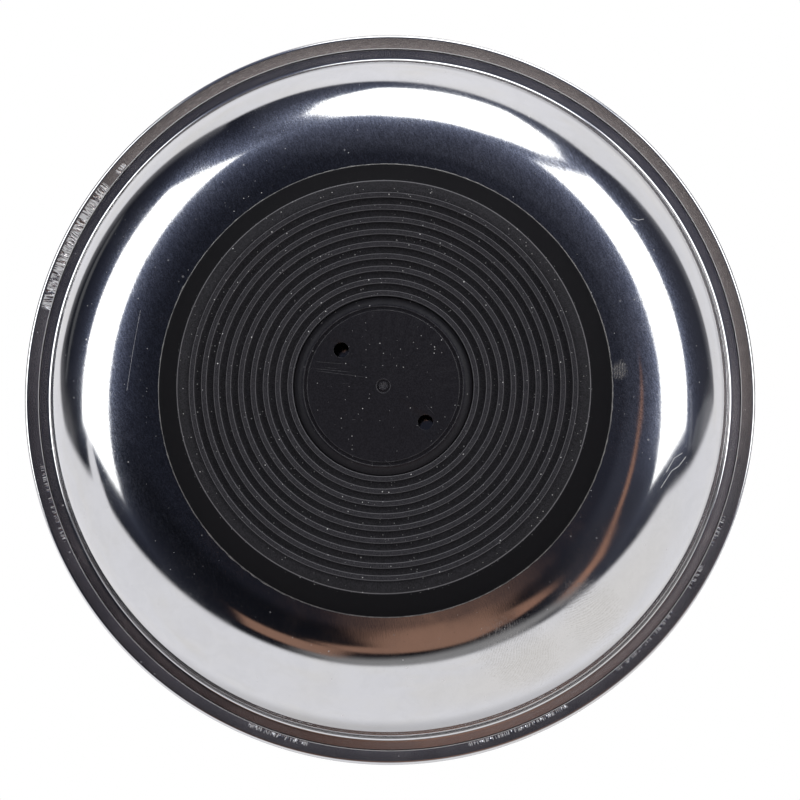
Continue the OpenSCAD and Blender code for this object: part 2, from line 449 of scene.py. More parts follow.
def plug_piece():
    """Moulded plug with its two vent holes cut through the face."""
    piece = turned("plug_moulded", plug_profile(), even_turns(PLUG_TURNS), False)
    cutters = [vent_cutter("vent_cutter_%d" % i, side) for i, side in enumerate((-1, 1))]
    for cutter in cutters:
        cut = piece.modifiers.new(cutter.name, "BOOLEAN")
        cut.operation, cut.object, cut.solver = "DIFFERENCE", cutter, "EXACT"
    bpy.context.view_layer.update()
    done = piece.evaluated_get(bpy.context.evaluated_depsgraph_get())
    mesh = bpy.data.meshes.new_from_object(done)
    piece.modifiers.clear()
    piece.data = mesh
    mesh.set_sharp_from_angle(angle=math.radians(SHARP_DEG))
    for cutter in cutters:
        bpy.data.objects.remove(cutter)
    return piece


# Glue line

# Thicker runs of the squeezed-out bead: clock angle, half width in degrees and extra width
BEAD_RUNS = (
    (214.0, 9.0, 0.16), (228.0, 5.0, 0.12), (100.0, 22.0, 0.05), (297.0, 2.0, 0.14), (20.0, 30.0, 0.02))

# Waves of the bead's edge: how many, fewest and most round the axis, height, and limits of the whole
WAVE_COUNT = 26
WAVE_FEWEST, WAVE_MOST = 5, 160
WAVE_H = 0.035
BEAD_LEAST, BEAD_MOST = -0.1, 0.4


def bond_piece():
    """Film of glue between skirt and bowl, with an uneven bead at its edge."""
    inner_r = SKIRT_R - SKIRT_W + BOND_INSET
    corners = [(inner_r, BOND_Z, BOND_EDGE_R), (SKIRT_R - BEAD_FOOT_INSET, BOND_Z, 0.0),
               (SKIRT_R + BEAD_W * BEAD_FOOT_SHARE, BOND_Z + BEAD_FOOT_H, BEAD_ROUND),
               (SKIRT_R + BEAD_W, BASE_Z, BEAD_TOP_R), (inner_r, BASE_Z, BOND_EDGE_R)]
    profile = np.array(rounded(corners, True, 3, 0.01))
    draw = random.Random(SEED + 1)
    waves = [(draw.randint(WAVE_FEWEST, WAVE_MOST), draw.uniform(0, 2 * math.pi), draw.uniform(0.3, 1.0))
             for _ in range(WAVE_COUNT)]

    def lift(radii, heights, turns):
        rough = sum(size * np.sin(count * turns + phase) for count, phase, size in waves) / 4.0
        extra = WAVE_H * rough
        for clock, half, width in BEAD_RUNS:
            gap = np.degrees(np.angle(np.exp(1j * (turns - clock_turn(clock)))))
            extra = extra + width * np.exp(-(gap / half) ** 2) * (0.6 + 0.5 * rough)
        share = np.clip((profile[:, 0] - SKIRT_R) / BEAD_W, 0, 1)[:, None]
        return radii + share * np.clip(extra, BEAD_LEAST, BEAD_MOST)[None, :], heights

    return turned("glue_line", profile, even_turns(BOND_TURNS), True, lift)


# Node helpers

class Net:
    """Short calls for building one node tree."""

    def __init__(self, tree):
        self.tree = tree
        self.tree.nodes.clear()

    def put(self, socket, value):
        if isinstance(value, bpy.types.NodeSocket):
            self.tree.links.new(value, socket)
        elif value is not None:
            socket.default_value = value

    def add(self, kind, inputs=(), **settings):
        """New node with its settings, and with its inputs by name or in order."""
        node = self.tree.nodes.new("ShaderNode" + kind)
        for key, value in settings.items():
            setattr(node, key, value)
        for key, value in inputs.items() if isinstance(inputs, dict) else enumerate(inputs):
            self.put(node.inputs[key], value)
        return node

    def math(self, operation, *values, clamp=False):
        return self.add("Math", values, operation=operation, use_clamp=clamp).outputs[0]

    def linear(self, value, factor, offset):
        return self.math("MULTIPLY_ADD", value, factor, offset)

    def chain(self, operation, values):
        """One value from several, joined one after another."""
        return reduce(lambda first, second: self.math(operation, first, second), values)

    def sum(self, *values):
        return self.chain("ADD", values)

    def product(self, *values):
        return self.chain("MULTIPLY", values)

    def largest(self, values):
        return self.chain("MAXIMUM", values)

    def without(self, value):
        """One less a value."""
        return self.math("SUBTRACT", 1.0, value)

    def vector(self, operation, *values):
        node = self.add("VectorMath", values, operation=operation)
        return node.outputs["Value" if operation in ("DOT_PRODUCT", "LENGTH", "DISTANCE") else "Vector"]

    def dot(self, first, second):
        return self.vector("DOT_PRODUCT", first, second)

    def scaled(self, vector, factor):
        return self.add("VectorMath", {0: vector, "Scale": factor}, operation="SCALE").outputs[0]

    def step(self, value, low, high, out_low=0.0, out_high=1.0, smooth=True):
        """Course from one result to another between two limits, soft or straight."""
        course = "SMOOTHSTEP" if smooth else "LINEAR"
        inputs = {"Value": value, "From Min": low, "From Max": high, "To Min": out_low, "To Max": out_high}
        return self.add("MapRange", inputs, interpolation_type=course).outputs[0]

    def near(self, value, target, outer, inner):
        """One within an inner distance of a target, and nothing past an outer one."""
        return self.step(self.math("ABSOLUTE", self.math("SUBTRACT", value, target)), outer, inner)

    def facing(self, ray, way, low, high, out_low=0.0, out_high=1.0):
        """Step over how far a direction points along another."""
        return self.step(self.dot(ray, way), low, high, out_low, out_high)

    def mix(self, factor, first, second):
        first, second = (c if isinstance(c, bpy.types.NodeSocket) else (*c, 1.0) for c in (first, second))
        return self.add("Mix", {"Factor": factor, 6: first, 7: second}, data_type="RGBA").outputs[2]

    def noise(self, vector, scale, detail=2.0, rough=0.5, distortion=0.0):
        inputs = {"Vector": vector, "Scale": scale, "Detail": detail, "Roughness": rough}
        return self.add("TexNoise", {**inputs, "Distortion": distortion}).outputs["Fac"]

    def speckle(self, spot, scale):
        """Even random values in small cubes."""
        cubes = self.vector("FLOOR", self.scaled(spot, scale))
        return self.add("TexWhiteNoise", {"Vector": cubes}, noise_dimensions="3D").outputs["Value"]

    def split(self, vector):
        return self.add("SeparateXYZ", (vector,)).outputs

    def join(self, x, y, z):
        return self.add("CombineXYZ", (x, y, z)).outputs[0]

    def place(self):
        """Place in millimetres along right, down and up."""
        spot = self.scaled(self.add("TexCoord").outputs["Object"], 1 / MM)
        return self.join(self.dot(spot, RIGHT), self.dot(spot, DOWN), self.split(spot)[2])

    def polar(self, spot):
        """Height of a place, its distance from the axis and its direction from there."""
        flat = self.vector("MULTIPLY", spot, (1, 1, 0))
        return self.split(spot)[2], self.vector("LENGTH", flat), self.vector("NORMALIZE", flat)

    def scaled_angle(self, spot, factor):
        """Clock angle in radians, times a factor."""
        right, down, _ = self.split(spot)
        return self.product(self.math("ARCTAN2", right, self.product(down, -1.0)), factor)

    def specks(self, spot, scale, share, size):
        """Small round dots of uneven brightness in a share of the cells."""
        cells = self.add("TexVoronoi", {"Vector": spot, "Scale": scale}).outputs
        red, green, blue = self.split(cells["Color"])
        chosen = self.math("GREATER_THAN", red, 1 - share)
        width = self.linear(green, size, size * 0.4)
        return self.product(chosen, self.step(self.math("DIVIDE", cells["Distance"], width), 1.0, 0.45),
                            self.linear(self.product(blue, blue), 0.75, 0.25))

    def stroke(self, spot, start, end, width, fade=True):
        """Thin line between two places in the plane, which may fade at its ends."""
        start, end = Vector((*start, 0)), Vector((*end, 0))
        run = end - start
        off = self.vector("SUBTRACT", self.vector("MULTIPLY", spot, (1, 1, 0)), start)
        share = self.math("DIVIDE", self.dot(off, run), run.length_squared, clamp=True)
        gap = self.vector("DISTANCE", off, self.scaled(tuple(run), share))
        drawn = self.step(gap, width, width * 0.2)
        if not fade:
            return drawn
        return self.product(drawn, self.step(share, 0.0, 0.15), self.step(share, 1.0, 0.6))

    def bump(self, height, distance, strength=1.0, normal=None):
        inputs = {"Height": height, "Distance": distance, "Strength": strength, "Normal": normal}
        return self.add("Bump", inputs).outputs[0]

    def surface(self, **values):
        """Principled shader on the output, with its inputs by name."""
        shader = self.add("BsdfPrincipled", {name.replace("_", " "): value for name, value in values.items()})
        self.add("OutputMaterial", {"Surface": shader.outputs[0]})


def new_material(name):
    """Material with an empty node tree, and its net."""
    material = bpy.data.materials.new(name)
    material.use_nodes = True
    return material, Net(material.node_tree)


# Finishes

# Finger marks on the steel: place along right and down, half sizes, turn of the ridges in degrees, strength
FINGER_MARKS = (
    ((46.4, -3.9), (1.75, 2.1), 12, 0.55),
    ((26.5, 52.0), (9.0, 7.5), 20, 0.3),
    ((41.0, 44.0), (8.0, 6.5), 60, 0.25),
)
RIDGE_PITCH_MM = 0.48


def finger_mark(net, spot, place, half, turn, strength):
    """Oval patch of curved ridges."""
    angle = math.radians(turn)
    off = net.vector("SUBTRACT", spot, (*place, 0))
    across = net.dot(off, (math.cos(angle), math.sin(angle), 0))
    along = net.dot(off, (-math.sin(angle), math.cos(angle), 0))
    shares = net.join(net.product(across, 1 / half[0]), net.product(along, 1 / half[1]), 0.0)
    oval = net.vector("LENGTH", shares)
    ragged = net.sum(oval, net.linear(net.noise(off, 1.4, 3.0, 0.7), 1.3, -0.65))
    bend = net.linear(net.noise(off, 0.16, 1.0), 3.0, net.product(along, along, 0.03))
    ridges = net.math("SINE", net.product(net.sum(across, bend), 2 * math.pi / RIDGE_PITCH_MM))
    worn = net.step(net.noise(off, 2.2, 2.0, 0.6), 0.3, 0.65, 0.35, 1.0)
    return net.product(net.step(ragged, 1.1, 0.45), net.linear(ridges, 0.34, 0.66), worn,
                       strength)


STEEL = (0.665, 0.67, 0.675)
STEEL_PRINT = (0.5, 0.48, 0.42)
# Pale tone of dust, also painted as highlights on the hem's raw edge and tool marks
STEEL_DUST_AND_HIGHLIGHT = (0.74, 0.74, 0.74)
# Dark colour of the shadow painted in the gap beside the hem's raw edge
STEEL_GAP_SHADOW = (0.03, 0.03, 0.033)
FLANGE_TINT = (0.74, 0.7, 0.705)
HEM_TINT = (0.66, 0.67, 0.705)
# Warmer hem tint painted on the side that catches more light
HEM_TINT_PAINTED_LIT = (0.7, 0.635, 0.6)

# Ways across the polishing hairs, and hairs as noise scale, detail and roughness
HAIR_ACROSS = (0.966, -0.259)
SLANT_ACROSS = (0.77, -0.64)
HAIR_NOISE = (4.2, 3.0, 0.65)
GRAIN_H = 0.001 * MM
HAIR_H = 0.002 * MM
PIT_H = 0.006 * MM

# Grain: darkest and lightest factor, size, the side that has none, where its haze catches no light, and the
# radii where it ends
GRAIN_LOW, GRAIN_HIGH = 0.52, 1.5
GRAIN_PER_MM = 5.2
GRAIN_UNLIT_WAY = (0.342, 0.94, 0.0)
GRAIN_END_TOP, GRAIN_END_BOTTOM = 62.5, 52.5
GRAIN_FADE_OUT, GRAIN_FADE_IN = 1.5, -2.5

# Thin scratches on the outside of the bowl: two places along right and down, and half width
STEEL_SCRATCHES = (
    ((59.8, 13.1), (58.3, 15.0), 0.12),
    ((58.3, 15.0), (56.9, 15.9), 0.13),
    ((56.9, 15.9), (54.7, 19.3), 0.12),
    ((59.0, 12.4), (57.4, 13.4), 0.11),
    ((57.4, 13.4), (55.8, 16.2), 0.11),
    ((-48.8, -15.8), (-50.2, -7.9), 0.035),
    ((-50.2, -7.9), (-51.4, 0.1), 0.035),
    ((49.4, -34.6), (50.4, -34.3), 0.09),
    ((50.4, -34.3), (51.6, -34.6), 0.07),
    ((49.0, -33.9), (49.9, -33.4), 0.09),
)

# Flange and hem as distances in from the rim, and the hem's underside as depths below the rim
STRIP_START, STRIP_FULL, STRIP_FADE, STRIP_END = 5.2, 4.4, 0.8, 0.6
UNDER_START, UNDER_FULL = 0.75, 0.95
RAW_EDGE_AT = RIM_R - (HEM_GAP + 2 * SHEET_T) / 2 - HEM_W
# Half widths of the pale line painted as a highlight on the hem's raw edge
RAW_EDGE_HIGHLIGHT = (0.14, 0.06)
# Half widths and shift of the dark line painted as the shadow in the gap beside the raw edge
GAP_SHADOW_LINE = (0.2, 0.1)
GAP_SHADOW_SHIFT = 0.06

# Sides of the rim that catch more light, along right and down, where sheen and a warmer hem tint are painted
HEM_LIT_WAY = (0.292, -0.956, 0.0)
HEM_LOW_WAY = (0.259, 0.966, 0.0)
FLANGE_LIT_WAY = (0.788, 0.616, 0.0)

# Hazy film: how far from the boot it rises, thinned next to the boot as painted shade, and the radii between
# which it thins
FILM_SHADE_REACH = 6.0
FILM_THINS_FROM, FILM_THINS_TO = 55.0, 61.0
FILM_ROUGH = 0.45
FILM_IOR = 1.5

# Bright strokes between the hem's tool marks, painted highlights on the scuffed sheet
HATCH_PER_MM = 3.9
HATCH_MIN_DENSITY = 0.9
HATCH_END_DEG = 0.3


def hem_hatch_highlights(net, spot, radius, under):
    """Painted highlights on the scuffed sheet between the hem's tool marks, the ground they cover, and the
    hem.
    """
    clock = net.math("MODULO", net.sum(net.scaled_angle(spot, 180 / math.pi), 360.0), 360.0)
    along = net.math("DIVIDE", net.math("SUBTRACT", radius, RAW_EDGE_AT), HEM_W)
    hem = net.product(net.step(along, 0.0, 0.03), net.step(along, 1.02, 0.97), under)
    arc_mm = net.product(clock, RIM_R * math.pi / 180)
    lean = net.linear(net.noise(net.join(arc_mm, 0.0, 0.0), 0.35, 1.0), 3.2, -1.6)
    across = net.linear(lean, along, arc_mm)
    drawn_out = net.join(net.product(across, HATCH_PER_MM), net.product(along, 0.9), 0.0)
    strokes = net.noise(drawn_out, 1.0, 2.0, 0.6)
    runs, scuff_glints = [], []
    for start, end, density, _, near, far, _ in HEM_RUNS:
        if density < HATCH_MIN_DENSITY:
            continue
        low = 0.585 - 0.04 * density
        run = net.product(net.step(clock, start - HATCH_END_DEG, start + HATCH_END_DEG),
                          net.step(clock, end + HATCH_END_DEG, end - HATCH_END_DEG),
                          net.step(along, near - 0.06, near + 0.04), net.step(along, far + 0.06, far - 0.08))
        runs.append(run)
        scuff_glints.append(net.product(run, net.step(strokes, low, low + 0.07)))
    return net.product(net.largest(scuff_glints), under), net.largest(runs), hem


def hair_space(net, spot, across):
    """Coordinates that draw a noise out into hairs, across a direction in the plane."""
    return net.join(net.dot(spot, (*across, 0.0)),
                    net.product(net.dot(spot, (-across[1], across[0], 0.0)), 0.14),
                    net.product(net.split(spot)[2], 0.3))


def steel_grain(net, spot, radius, ray, hairs, outside):
    """Brightness of the outside's fine grain: speckle and two ways of hairs, painted only on the side where
    its haze catches light.
    """
    slants = net.noise(hair_space(net, spot, SLANT_ACROSS), *HAIR_NOISE)
    end = net.step(net.split(ray)[1], 0.0, 0.6, GRAIN_END_TOP, GRAIN_END_BOTTOM, False)
    share = net.product(outside, net.step(net.math("SUBTRACT", radius, end), GRAIN_FADE_OUT, GRAIN_FADE_IN),
                        net.facing(ray, GRAIN_UNLIT_WAY, 0.75, 0.3))
    sparkle = net.sum(net.product(net.speckle(spot, GRAIN_PER_MM), 0.55),
                      net.step(hairs, 0.42, 0.64, 0.0, 0.25), net.step(slants, 0.46, 0.64, 0.0, 0.2))
    sparkle = net.step(sparkle, 0.0, 1.0, GRAIN_LOW, GRAIN_HIGH, False)
    return net.sum(1.0, net.product(share, net.math("SUBTRACT", sparkle, 1.0)))


def rim_finish_and_painted_light(net, spot, radius, ray, strip, hem, ground):
    """Scatter and tint of the flange and hem, which are duller than the bowl, with sheen and a warmer hem
    tint painted on the sides that catch more light, and the hem darker towards the rim.
    """
    lit_side = net.facing(ray, HEM_LIT_WAY, -0.4, 0.7, 0.03, 0.235)
    low_side = net.facing(ray, HEM_LOW_WAY, 0.3, 0.8, 0.0, 0.03)
    flange_lit_side = net.facing(ray, FLANGE_LIT_WAY, 0.45, 1.0, 0.035, 0.155)
    rings = net.join(net.product(radius, 5.0), net.scaled_angle(spot, RIM_R * 0.5), 0.0)
    brushed = net.step(net.noise(rings, 1.0, 2.0, 0.6), 0.3, 0.7, 0.8, 1.2)
    parts = (net.product(strip, flange_lit_side, net.without(hem)), net.product(hem, net.sum(lit_side, low_side)))
    # Sheen painted by side, taken away on the ground between the tool-mark strokes
    scatter_and_painted_sheen = net.product(net.largest(parts), brushed, net.linear(ground, -0.8, 1.0))
    # Hem darker towards the rim
    hem_fall = net.step(radius, RAW_EDGE_AT, RIM_R - STRIP_FADE, 1.12, 0.8)
    hem_painted_tint = net.mix(net.step(lit_side, 0.05, 0.2), HEM_TINT, HEM_TINT_PAINTED_LIT)
    return scatter_and_painted_sheen, net.mix(hem, FLANGE_TINT, net.scaled(hem_painted_tint, hem_fall))


def steel_finish():
    """Polished stainless with straight hairs, a hazy film, finger marks, scratches and dust, and painted
    highlights, sheen and shade on the rim.
    """
    material, net = new_material("polished_stainless")
    spot = net.place()
    height, radius, ray = net.polar(spot)
    hairs = net.noise(hair_space(net, spot, HAIR_ACROSS), *HAIR_NOISE)
    cloud = net.noise(spot, 0.09, 3.0, 0.6)
    grain = net.noise(spot, 3.4, 2.0, 0.7)
    pits = net.specks(spot, 1.3, 0.2, 0.13)
    outside = net.step(net.split(net.add("NewGeometry").outputs["Normal"])[2], 0.1, -0.1)
    under = net.step(height, RIM_Z - UNDER_START, RIM_Z - UNDER_FULL)

    prints = net.product(net.largest(finger_mark(net, spot, *mark) for mark in FINGER_MARKS), outside)
    scratch = net.largest(net.stroke(spot, *mark, False) for mark in STEEL_SCRATCHES)
    dust = net.largest((net.specks(spot, 0.4, 0.55, 0.095), net.specks(spot, 1.1, 0.22, 0.12),
                        net.product(scratch, outside, net.step(grain, 0.3, 0.6, 0.6, 1.0))))
    strip = net.product(net.step(radius, RIM_R - STRIP_START, RIM_R - STRIP_FULL),
                        net.step(radius, RIM_R - STRIP_END, RIM_R - STRIP_FADE), outside)
    # Pale, less metallic line on the hem's raw edge: a painted highlight
    raw_edge_highlight = net.product(net.near(radius, RAW_EDGE_AT, *RAW_EDGE_HIGHLIGHT), under)
    # Dark line on the flange beside the raw edge: a painted shadow of the hem's gap
    gap_shadow = net.product(net.near(radius, RAW_EDGE_AT - GAP_SHADOW_SHIFT, *GAP_SHADOW_LINE), net.without(under), outside)
    # Tool-mark strokes painted as highlights, and the ground between them where the painted sheen is taken
    # away
    hatch_highlight, ground, hem = hem_hatch_highlights(net, spot, radius, under)
    rim_painted_sheen, rim_tint_with_painted_light = rim_finish_and_painted_light(net, spot, radius, ray, strip, hem, ground)

    smear = net.step(net.noise(spot, 0.22, 4.0, 0.6, 0.6), 0.35, 0.7, 1.0, 0.965)
    colour = net.scaled(net.mix(prints, STEEL, STEEL_PRINT), smear)
    colour = net.scaled(colour, steel_grain(net, spot, radius, ray, hairs, outside))
    colour = net.mix(strip, colour, rim_tint_with_painted_light)
    colour = net.mix(net.product(gap_shadow, 0.85), colour, STEEL_GAP_SHADOW)
    colour = net.mix(net.largest((dust, raw_edge_highlight, hatch_highlight)), colour, STEEL_DUST_AND_HIGHLIGHT)
    scatter_and_painted_sheen = net.largest((net.product(prints, 0.7), net.product(raw_edge_highlight, 0.85), rim_painted_sheen,
                           net.product(hatch_highlight, 0.9), net.product(dust, 0.9)))
    rough = net.sum(net.step(cloud, 0.35, 0.75, 0.06, 0.12), net.product(prints, 0.35),
                    net.linear(hairs, 0.05, -0.02), net.product(strip, 0.14),
                    net.product(hatch_highlight, 0.2))
    # Film thinned next to the boot as painted shade
    film = net.product(net.step(hairs, 0.35, 0.68), net.step(grain, 0.42, 0.66),
                       net.step(cloud, 0.3, 0.7, 0.3, 0.6),
                       net.step(radius, SKIRT_R, SKIRT_R + FILM_SHADE_REACH, 0.35, 1.0),
                       net.step(radius, FILM_THINS_FROM, FILM_THINS_TO, 1.0, 0.4))
    below_rim = net.step(radius, RIM_R - 5.0, RIM_R - 8.0)
    normal = None
    for texture, depth in ((hairs, HAIR_H), (grain, GRAIN_H), (pits, PIT_H)):
        normal = net.bump(texture, depth, below_rim, normal)
    net.surface(Base_Color=colour, Metallic=net.without(scatter_and_painted_sheen), Roughness=rough, Normal=normal,
                Coat_Weight=film, Coat_Roughness=FILM_ROUGH, Coat_IOR=FILM_IOR)
    return material


RUBBER_GROOVE = (0.0235, 0.023, 0.0262)
RUBBER_DULL = (0.015, 0.0146, 0.0168)
RUBBER_WORN = (0.0335, 0.0327, 0.0375)
RUBBER_CLEAN = (0.0096, 0.0095, 0.0106)
# Pale tones painted as highlights on the worn rib edges and the lip
RUBBER_EDGE_HIGHLIGHT = (0.135, 0.133, 0.142)
RUBBER_LIP_HIGHLIGHT = (0.15, 0.148, 0.155)
RUBBER_DUST = (0.62, 0.62, 0.61)
RUBBER_GRAIN_H = 0.02 * MM
FACE_GLOSS = 0.15
SKIRT_GLOSS = 0.01

# Lip between shoulder and skirt, and the half widths of the pale lines on it and on the ribs' edges, painted
# highlights on these worn edges
LIP_R = MAGNET_R + BOOT_GAP + BOOT_WALL
LIP_Z = 1.6
LIP_HIGHLIGHT = (0.15, 0.05)
RIB_HIGHLIGHT = (0.09, 0.03)
RIB_HIGHLIGHT_INSET = 0.01
SKIRT_FADE = 0.7


def rubber_finish(name, gloss):
    """Matt black rubber: clean skirt, greyer worn ribs, pale lines painted as highlights on the worn rib
    edges and lip, and dust.
    """
    material, net = new_material(name)
    spot = net.place()
    height, radius, _ = net.polar(spot)
    grain = net.noise(spot, 5.5, 3.0, 0.7)
    cloud = net.noise(spot, 0.12, 3.0, 0.6)
    first_rib = PLUG_R + PLUG_GAP + RIB_FOOT_W / 2
    phase = net.math("DIVIDE", net.math("SUBTRACT", radius, first_rib), RIB_PITCH)
    from_middle = net.math("ABSOLUTE", net.math("SUBTRACT", phase, net.math("ROUND", phase)))
    off_rib = net.product(from_middle, RIB_PITCH)
    top = net.step(height, 0.2, 0.03)
    # Pale line on each rib's edge: a painted highlight on the worn edge
    edge = net.product(net.near(off_rib, RIB_TOP_W / 2 - RIB_HIGHLIGHT_INSET, *RIB_HIGHLIGHT),
                       net.step(height, 0.3, 0.1), net.step(grain, 0.05, 0.55))
    # Pale line on the lip: a painted highlight
    lip = net.product(net.near(radius, LIP_R, *LIP_HIGHLIGHT), net.step(grain, 0.1, 0.55),
                      net.step(height, 2.0, 1.8))
    shoulder = net.product(net.step(radius, LIP_R - SHOULDER_W, LIP_R - 0.1), net.step(height, 1.7, 1.6))
    skirt = net.step(height, LIP_Z, LIP_Z + SKIRT_FADE)
    dust = net.largest((net.specks(spot, 0.75, 0.3, 0.11), net.specks(spot, 1.8, 0.26, 0.2)))
    base = net.mix(top, RUBBER_GROOVE, net.mix(net.step(grain, 0.32, 0.62), RUBBER_DULL, RUBBER_WORN))
    base = net.mix(net.product(shoulder, net.step(grain, 0.3, 0.62, 0.95, 0.55)), base, RUBBER_DULL)
    base = net.mix(net.product(net.step(cloud, 0.4, 0.7), 0.2), base, RUBBER_WORN)
    base = net.scaled(base, net.step(net.speckle(spot, GRAIN_PER_MM), 0.0, 1.0, 0.62, 1.38, False))
    dust = net.product(dust, net.step(height, 3.5, 2.0))
    for share, tone in ((skirt, RUBBER_CLEAN), (edge, RUBBER_EDGE_HIGHLIGHT), (lip, RUBBER_LIP_HIGHLIGHT), (dust, RUBBER_DUST)):
        base = net.mix(share, base, tone)
    rough = net.step(grain, 0.2, 0.8, 0.68, 0.85)
    normal = net.bump(grain, RUBBER_GRAIN_H, 0.6)
    net.surface(Base_Color=base, Roughness=rough, Specular_IOR_Level=gloss, Normal=normal)
    return material


def skirt_material(piece, material):
    """Give a boot's faces past the lip a material of their own."""
    mesh = piece.data
    mesh.materials.append(material)
    for face in mesh.polygons:
        if face.center.z > (LIP_Z + 0.05) * MM and face.center.xy.length > (LIP_R - 0.1) * MM:
            face.material_index = 1


# Scratches on the plug's face: two places along right and down, and half width
PLUG_SCRATCHES = (
    ((-13.3, -4.75), (-6.6, -4.2), 0.05),
    ((-13.6, -3.4), (-5.2, -2.6), 0.06),
    ((-13.4, -3.0), (-2.6, -1.6), 0.06),
    ((-11.5, -3.6), (-8.2, -3.3), 0.04),
    ((-8.0, -0.5), (-6.4, -0.55), 0.035),
    ((0.2, 14.3), (2.0, 15.7), 0.05),
    ((8.2, 3.6), (10.2, 5.9), 0.03),
    ((-6.1, 6.6), (-5.3, 6.5), 0.07),
)
PLUG_BLACK = (0.015, 0.0146, 0.0176)
PLUG_FLOW = (0.0178, 0.0174, 0.0204)
# Pale tone of the worn gate nub, also painted as highlights on the gate's and groove's edges
PLUG_WORN_AND_HIGHLIGHT = (0.085, 0.084, 0.09)
PLUG_SCRATCH = (0.1, 0.1, 0.105)
PLUG_GLOSS = 0.4
PLUG_GRAIN_H = 0.008 * MM

# Side of the gate that the flow lines fan out to, shift of the second dust, and half widths of the pale rings
# painted as highlights on the gate's and groove's edges
FLOW_WAY = (0.5, -0.866, 0.0)
DUST_SHIFT = (5.3, 2.9, 0.0)
GATE_HIGHLIGHT = (0.16, 0.04)
GROOVE_HIGHLIGHT = (0.13, 0.04)


def plug_finish():
    """Satin black plastic with flow lines from its gate, a duller bevel, painted highlights on the gate's and
    groove's edges, scratches and dust.
    """
    material, net = new_material("plug_plastic")
    spot = net.place()
    height, radius, ray = net.polar(spot)
    fanned = net.vector("ADD", net.scaled(ray, 9.0), net.join(0.0, 0.0, net.product(radius, 0.12)))
    flow = net.noise(fanned, 1.6, 4.0, 0.6)
    grain = net.noise(spot, 4.5, 3.0, 0.6)
    scratch = net.product(net.largest(net.stroke(spot, *mark) for mark in PLUG_SCRATCHES),
                          net.step(grain, 0.25, 0.6))
    moved = net.vector("ADD", spot, DUST_SHIFT)
    dust = net.largest((net.specks(spot, 0.6, 0.26, 0.07), net.specks(moved, 1.5, 0.26, 0.15)))
    nub = net.product(net.step(radius, STUB_D / 2, STUB_D / 2 - 0.3), net.step(grain, 0.4, 0.65))
    # Pale ring on the gate's edge: a painted highlight
    ring = net.near(radius, GATE_D / 2, *GATE_HIGHLIGHT)
    fan = net.product(net.step(flow, 0.35, 0.7), net.facing(ray, FLOW_WAY, 0.0, 0.9))
    bevel_in_r = PLUG_R - BEVEL_W
    bevel = net.step(radius, bevel_in_r + 0.2, bevel_in_r + 0.9)
    groove_radii = (bevel_in_r - GROOVE_W, bevel_in_r)
    # Pale lines on the groove's edges: painted highlights
    edges = net.largest(net.near(radius, edge_r, *GROOVE_HIGHLIGHT) for edge_r in groove_radii)
    edges = net.product(edges, net.step(height, PLUG_Z + 0.15, PLUG_Z + 0.08),
                        net.step(net.noise(spot, 0.5, 3.0), 0.3, 0.65, 0.25, 1.0))
    base = net.mix(fan, PLUG_BLACK, PLUG_FLOW)
    base = net.mix(net.largest((nub, net.product(ring, 0.35))), base, PLUG_WORN_AND_HIGHLIGHT)
    base = net.mix(net.product(edges, 0.55), base, PLUG_WORN_AND_HIGHLIGHT)
    base = net.mix(net.product(scratch, 0.6), base, PLUG_SCRATCH)
    base = net.scaled(base, net.step(net.speckle(spot, GRAIN_PER_MM), 0.0, 1.0, 0.75, 1.25, False))
    base = net.mix(dust, base, RUBBER_DUST)
    rough = net.sum(net.step(flow, 0.3, 0.7, 0.22, 0.27), net.product(scratch, 0.2), net.product(bevel, 0.22))
    normal = net.bump(net.sum(net.product(flow, 0.2), net.product(grain, 0.3)), PLUG_GRAIN_H, 0.5)
    net.surface(Base_Color=base, Roughness=rough, Specular_IOR_Level=PLUG_GLOSS, Normal=normal)
    return material


# Dull finishes: two tones, limits of the clouds between them, noises, roughness and relief of the grain
GLUE = dict(
    dark=(0.065, 0.065, 0.066), pale=(0.2, 0.195, 0.185), limits=(0.3, 0.75), clouds=(0.7, 4.0, 0.65),
    grains=(6.0, 3.0, 0.7), rough=(0.35, 0.6), grain_h=0.03 * MM)
FERRITE = dict(
    dark=(0.03, 0.03, 0.032), pale=(0.06, 0.059, 0.058), limits=(0.3, 0.7), clouds=(7.0, 4.0, 0.7),
    grains=(7.0, 4.0, 0.7), rough=(0.45, 0.65), grain_h=0.02 * MM)


def dull_finish(name, dark, pale, limits, clouds, grains, rough, grain_h):
    """Two tones in clouds or grains, with a rough grain."""
    material, net = new_material(name)
    spot = net.place()
    grain = net.noise(spot, *grains)
    net.surface(Base_Color=net.mix(net.step(net.noise(spot, *clouds), *limits), dark, pale),
                Roughness=net.step(grain, 0.3, 0.7, *rough), Normal=net.bump(grain, grain_h))
    return material


# Studio

# Corners of the soft lights, dark panels and cards: clock angle and angle from the view along +Z
RIGHT_LIGHT = ((30, 46), (105.5, 50), (93.5, 75), (40, 72))
LEFT_LIGHT = ((253.5, 55.5), (328, 52), (314, 76), (268, 84))
TOP_LIGHT = (
    (343.5, 66), (349, 54), (0, 49), (17, 49), (28.5, 56),
    (33, 67), (30, 78), (20, 86.5), (357, 86.5), (347, 77))
OVERHEAD_LIGHT = ((330, 163), (30, 156), (95, 156), (150, 163), (240, 171), (300, 166))
RIGHT_PANEL = (
    (33, 66), (34, 96), (50, 105), (65, 113), (78, 120),
    (88, 118), (95, 104), (101, 90), (106, 74), (108, 66))
LEFT_PANEL = (
    (266, 80), (258, 85), (258.5, 89), (268, 116), (280, 128.5),
    (292, 125.5), (310, 117), (329, 103), (326, 70))
PALE_TONGUE = ((248, 74), (262, 75), (268, 77), (264, 82), (256, 85), (248, 86))
LONG_STREAK = ((276, 110), (290, 108), (304, 106), (306, 109), (290, 113.5), (276, 113))
